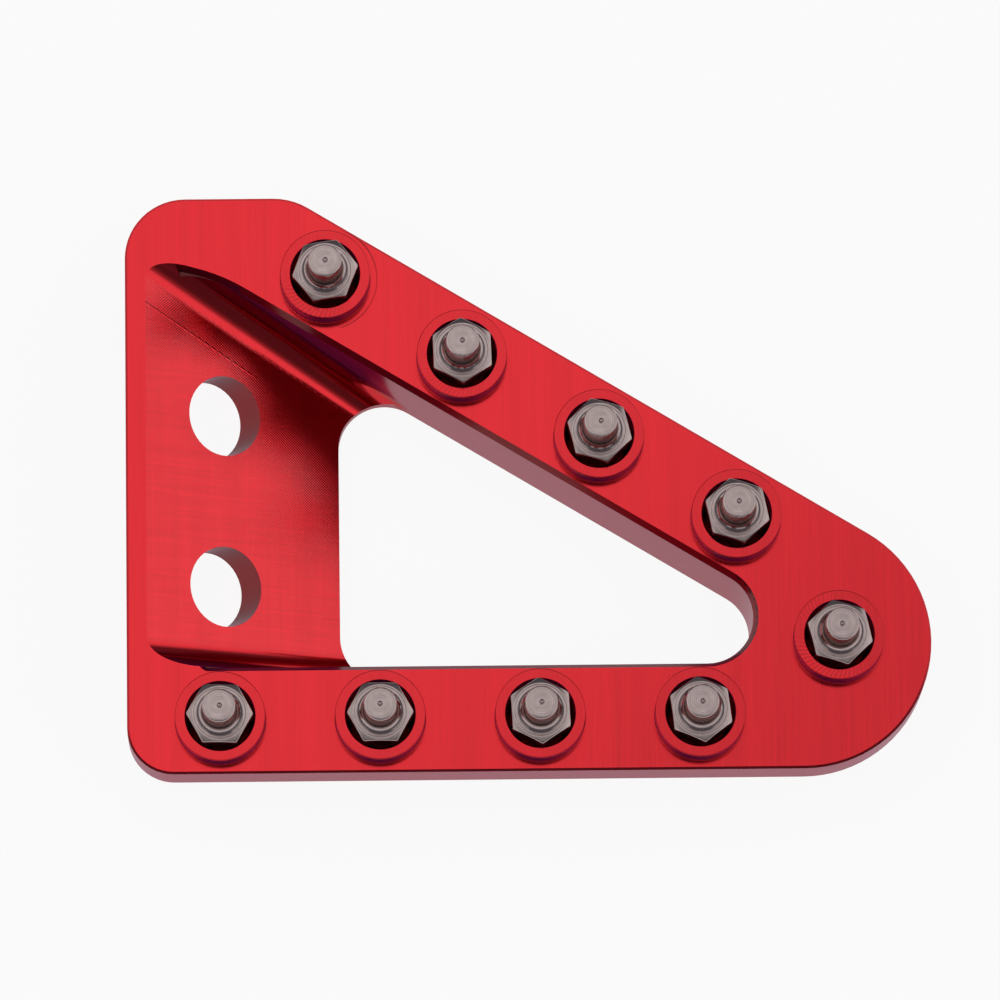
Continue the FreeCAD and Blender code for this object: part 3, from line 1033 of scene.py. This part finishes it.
        # Painted shade: edge breaks, bolt-hole walls, rims, fillets and ledges are darkened in
        # colour for the dark of their reflections and the shade on them.
        deep = (
            self.edge_painted_shade * edge + self.bolt_hole_painted_shade * bolt_hole + self.rim_painted_shade * (rim & ~on_boss)
            + self.fillet_painted_shade * (fillet & ~bolt_hole) + self.ledge_painted_shade * ledge
        )
        square_to_web = np.abs(facing_web) < self.square_slope
        wall = (np.abs(up) < self.wall_slope) | square_to_web | rim | ledge
        milled = np.maximum(up, facing_web) > self.milled_slope
        return {
            Feature.WEB_FLOOR: (facing_web > self.milled_slope).astype(float),
            Feature.UPRIGHT: (wall & ~on_boss).astype(float),
            Feature.RIBBED: ribs,
            Feature.CUT_FACE: (milled & ~ledge).astype(float),
            Feature.DEEP_DYE: np.where(on_boss, self.boss_painted_shade, np.clip(deep, 0, 1)),
        }

    def build(self, finish: Material) -> bpy.types.Object:
        """Makes the plate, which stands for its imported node.

        Args:
            finish: the plate's material.

        Returns:
            The plate.
        """
        shell, places, ribs = self.shell()
        attributes = self.features(shell, ribs) | {Feature.BOSS_PLACE: places}
        obj = shell.to_object("pedal_plate_milled", attributes)
        obj.data.materials.append(finish)
        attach(obj, "root")
        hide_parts("pedal_plate")
        return obj


@dataclass(frozen=True)
class Softbox:
    """One large soft lamp that faces the object."""

    name: str = "overhead_softbox"
    place: Triple = (-0.38, 0.30, 1.3)
    size: Pair = (1.1, 0.9)
    radiance: float = 0.315

    def build(self, target: Vector) -> None:
        """Hangs the lamp. Its power is its radiance times its area times pi.

        Args:
            target: the point that it faces.
        """
        data = bpy.data.lights.new(self.name, "AREA")
        data.shape = "RECTANGLE"
        data.size, data.size_y = self.size
        data.energy = self.radiance * self.size[0] * self.size[1] * math.pi
        lamp = bpy.data.objects.new(self.name, data)
        lamp.location = self.place
        lamp.rotation_mode = "QUATERNION"
        lamp.rotation_quaternion = (target - Vector(self.place)).to_track_quat("-Z", "Y")
        lamp.visible_camera = False
        bpy.context.scene.collection.objects.link(lamp)


@dataclass(frozen=True)
class Studio:
    """Pale floor, soft lamp, light tent and the camera at the photograph's angle."""

    # The camera: the point it looks at, in metres, its angles in degrees and its lens.
    target: Triple = (0.02540, -0.00122, 0.009128)
    distance: float = 0.850
    tilt: float = 10.281
    pan: float = -0.82
    roll: float = 0.676
    focal_px: float = 9902.5
    frame_px: float = 1000.0
    sensor: float = 36.0
    clip: Pair = (0.05, 20.0)
    floor_size: float = 8.0
    floor_gap: float = 0.00002
    # The light tent: strengths, and the parts of a direction between which each one comes in.
    zenith: float = 0.67
    zenith_step: Pair = (0.60, 0.88)
    horizon: float = 0.12
    horizon_blue: float = 0.14
    left_side: float = 0.75
    right_side: float = 1.0
    side_step: Pair = (0.50, 0.62)
    side_foot: Pair = (0.25, 0.39)
    # Where the camera stands the tent is dark: its half-angles in degrees and what is left.
    camera_spot: Pair = (6.0, 11.0)
    camera_left: float = 0.1

    def back(self) -> Vector:
        """Works out the direction from the object to the camera, from tilt and pan.

        Returns:
            The direction, at length 1.
        """
        tilt, pan = math.radians(self.tilt), math.radians(self.pan)
        level = math.cos(tilt)
        return Vector((math.sin(pan) * level, -math.sin(tilt), level * math.cos(pan))).normalized()

    def camera(self) -> None:
        """Sets the camera up from tilt, pan and roll about the view line."""
        roll = math.radians(self.roll)
        back = self.back()
        right = Vector((0, 1, 0)).cross(back).normalized()
        up = back.cross(right)
        right_rolled = right * math.cos(roll) - up * math.sin(roll)
        up_rolled = right * math.sin(roll) + up * math.cos(roll)
        data = bpy.data.cameras.new("photo_camera")
        data.sensor_width = self.sensor
        data.lens = self.focal_px * self.sensor / self.frame_px
        data.clip_start, data.clip_end = self.clip
        camera = bpy.data.objects.new("photo_camera", data)
        turn = Matrix((right_rolled, up_rolled, back)).transposed()
        place = Vector(self.target) + back * self.distance
        camera.matrix_world = Matrix.Translation(place) @ turn.to_4x4()
        bpy.context.scene.collection.objects.link(camera)
        bpy.context.scene.camera = camera

    def world(self) -> None:
        """A white light tent: bright overhead and on both sides, dark and a little cool low down.

        The strength is the largest of a smooth step over the height and, for each side, a smooth
        step over the sideways part of the direction times one over the height. Round the
        direction of the camera it falls off, as the dark camera shows in every square corner.
        """
        world = bpy.data.worlds.new("plain_room")
        bpy.context.scene.world = world
        world.use_nodes = True
        tree = world.node_tree
        tree.nodes.clear()
        ray = add_node(tree, "TexCoord").outputs["Generated"]
        apart = add_node(tree, "SeparateXYZ", (ray,)).outputs
        across, height = apart["X"], apart["Z"]
        facing = add_node(tree, "VectorMath", (ray, tuple(self.back())), operation="DOT_PRODUCT")
        inner, outer = (math.cos(math.radians(angle)) for angle in self.camera_spot)
        left = tuple(-step for step in self.side_step)
        overhead, low, right_panel, left_panel, lens = (
            add_node(tree, "MapRange", step, interpolation_type="SMOOTHSTEP")
            for step in (
                (height, *self.zenith_step, self.horizon, self.zenith),
                (height, *self.side_foot, 0.0, 1.0),
                (across, *self.side_step, 0.0, self.right_side),
                (across, *left, 0.0, self.left_side),
                (facing, outer, inner, 1.0, self.camera_left),
            )
        )
        strength = overhead
        for panel in (right_panel, left_panel):
            panel = add_node(tree, "Math", (panel, low), operation="MULTIPLY")
            strength = add_node(tree, "Math", (strength, panel), operation="MAXIMUM")
        strength = add_node(tree, "Math", (strength, lens), operation="MULTIPLY")
        blue = add_node(tree, "Math", (strength, self.horizon_blue), operation="MAXIMUM")
        colour = add_node(tree, "CombineXYZ", (strength, strength, blue))
        sky = add_node(tree, "Background", {"Color": colour, "Strength": 1.0})
        add_node(tree, "OutputWorld", {"Surface": sky})

    def build(self, paper: Material) -> None:
        """Lays the floor under the object, hangs the lamp and sets the room and the camera.

        Args:
            paper: the floor's material.
        """
        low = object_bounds()[0]
        half = self.floor_size / 2
        height = low.z - self.floor_gap
        corners = [(x * half, y * half, height) for x, y in ((-1, -1), (1, -1), (1, 1), (-1, 1))]
        mesh = bpy.data.meshes.new("paper_floor")
        mesh.from_pydata(corners, [], [(0, 1, 2, 3)])
        mesh.materials.append(paper)
        floor = bpy.data.objects.new("paper_floor", mesh)
        bpy.context.scene.collection.objects.link(floor)
        floor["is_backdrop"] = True
        Softbox().build(Vector(self.target))
        self.world()
        self.camera()
        bpy.context.scene.view_settings.view_transform = "Standard"


def grip_pins() -> list[GripPin]:
    """Lists the nine pins, with how each hexagon came to rest and where its centre mark sits.

    Returns:
        The pins of the straight arm, those of the slanted arm and the one at the nose.
    """
    turns = {
        "lower_1": 59.0, "lower_2": 0.0, "lower_3": 33.0, "lower_4": 37.0,
        "upper_1": 9.0, "upper_2": 32.0, "upper_3": 44.0, "upper_4": 42.0,
        "nose": 43.0,
    }
    shifts = ((0.03, 0.0), (-0.04, 0.02), (0.02, 0.04), (0.0, -0.03), (0.03, 0.03),
              (-0.02, 0.02), (0.04, 0.0), (0.0, 0.03), (-0.03, -0.02))
    return [
        GripPin(f"grip_pin_{place}", turn, shift)
        for (place, turn), shift in zip(turns.items(), shifts)
    ]


def main() -> None:
    """Builds the plate, the pins and the studio, and reports each piece."""
    logging.basicConfig(level=logging.INFO, format="%(message)s")
    pins = grip_pins()
    marked = next(pin for pin in pins if pin.name == "grip_pin_upper_1")
    plate_finish = AnodisedAluminium().build(tuple(marked.centre()[:2]))
    pin_finish = TurnedSteel().build()
    ribbed = {"grip_pin_upper_1": 1.0, "grip_pin_upper_2": 0.45, "grip_pin_nose": 0.5}
    plate = PedalPlate(pins, ribbed=ribbed).build(plate_finish)
    LOG.info("%s: %d faces", plate.name, len(plate.data.polygons))
    for pin in pins:
        piece = pin.build(pin_finish)
        LOG.info("%s: %d faces", piece.name, len(piece.data.polygons))
    Studio().build(WhitePaper().build())


if __name__ == "__main__":
    main()
